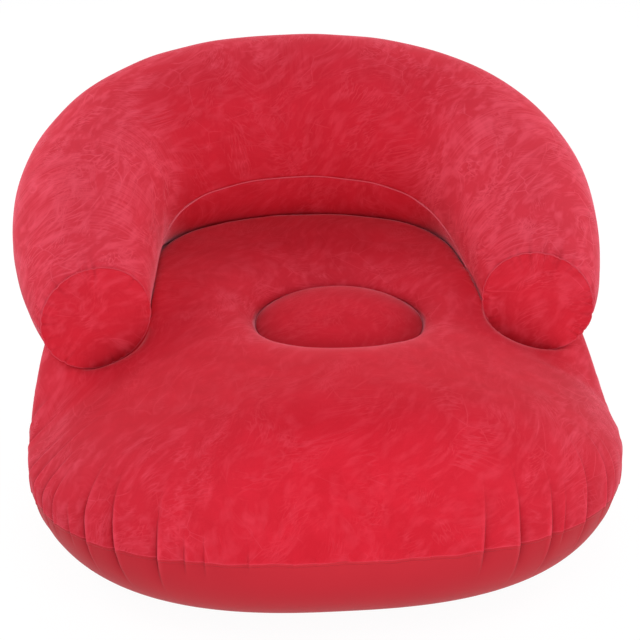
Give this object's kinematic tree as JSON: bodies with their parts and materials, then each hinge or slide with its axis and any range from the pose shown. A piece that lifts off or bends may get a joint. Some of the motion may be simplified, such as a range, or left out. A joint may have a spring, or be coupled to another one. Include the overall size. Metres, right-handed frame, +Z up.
{
  "type": "inflatable chair",
  "caption": "Inflatable armchair: a round-cornered air cushion with a dished top, and one horseshoe air tube welded on it as backrest and arms, each with its own two-stage valve.",
  "frame": {"origin": "on the floor, under the middle of the whole chair's box", "axes": "+Z up; the sitter looks along -Y, so the backrest is at +Y; +X is the left-hand arm's side of somebody who sits in it, and the right side of the picture"},
  "size_m": [1.0776, 1.2138, 0.7089],
  "materials": {
    "flocked_sheet": "short velvety flock on vinyl sheet, matt with a pale sheen at grazing angles",
    "plain_sheet": "smooth satin vinyl sheet",
    "weld": "pressed vinyl weld, satin",
    "inner_sheet": "smooth milky vinyl sheet, hidden inside",
    "valve_body": "moulded soft vinyl, satin",
    "valve_flap": "thin clear vinyl film"
  },
  "bodies": {
    "chair": {"seat_top_skin": "flocked_sheet", "seat_bottom_skin": "plain_sheet", "seat_perimeter_weld": "weld", "seat_well_panel": "flocked_sheet", "seat_well_weld": "weld", "seat_inner_sleeve": "inner_sheet", "backrest_upper_skin": "flocked_sheet", "backrest_lower_skin": "flocked_sheet", "backrest_inner_seam": "weld", "backrest_outer_seam": "weld", "left_arm_end_cap": "flocked_sheet", "left_arm_end_lip": "weld", "right_arm_end_cap": "flocked_sheet", "right_arm_end_lip": "weld", "backrest_joining_strip": "weld", "seat_valve_base": "valve_body", "backrest_valve_base": "valve_body"},
    "seat_valve_stopper": {"seat_valve_stopper": "valve_body"},
    "seat_valve_cap": {"seat_valve_cap": "valve_body"},
    "seat_valve_flap": {"seat_valve_flap": "valve_flap"},
    "backrest_valve_stopper": {"backrest_valve_stopper": "valve_body"},
    "backrest_valve_cap": {"backrest_valve_cap": "valve_body"},
    "backrest_valve_flap": {"backrest_valve_flap": "valve_flap"}
  },
  "joints": [
    {"name": "seat_valve_stopper_hinge", "type": "hinge", "parent": "chair", "child": "seat_valve_stopper", "pos_m": [-0.16449, 0.53251, 0.29301], "axis": [0.9032, 0.4292, 0], "range_deg": [0, 140]},
    {"name": "seat_valve_cap_hinge", "type": "hinge", "parent": "seat_valve_stopper", "child": "seat_valve_cap", "pos_m": [-0.17808, 0.53665, 0.27619], "axis": [0.137, -0.2883, 0.9477], "range_deg": [0, 130]},
    {"name": "seat_valve_flap_hinge", "type": "hinge", "parent": "seat_valve_stopper", "child": "seat_valve_flap", "pos_m": [-0.16209, 0.52747, 0.27921], "axis": [-0.9032, -0.4292, 0], "range_deg": [0, 35], "stiffness_Nm_per_rad": 0.00002},
    {"name": "backrest_valve_stopper_hinge", "type": "hinge", "parent": "chair", "child": "backrest_valve_stopper", "pos_m": [-0.15915, 0.57039, 0.65234], "axis": [0.9881, 0.1536, 0], "range_deg": [0, 140]},
    {"name": "backrest_valve_cap_hinge", "type": "hinge", "parent": "backrest_valve_stopper", "child": "backrest_valve_cap", "pos_m": [-0.17144, 0.58112, 0.63755], "axis": [0.0749, -0.4817, 0.8732], "range_deg": [0, 130]},
    {"name": "backrest_valve_flap_hinge", "type": "hinge", "parent": "backrest_valve_stopper", "child": "backrest_valve_flap", "pos_m": [-0.15869, 0.56746, 0.63774], "axis": [-0.9881, -0.1536, 0], "range_deg": [0, 35], "stiffness_Nm_per_rad": 0.00002}
  ]
}
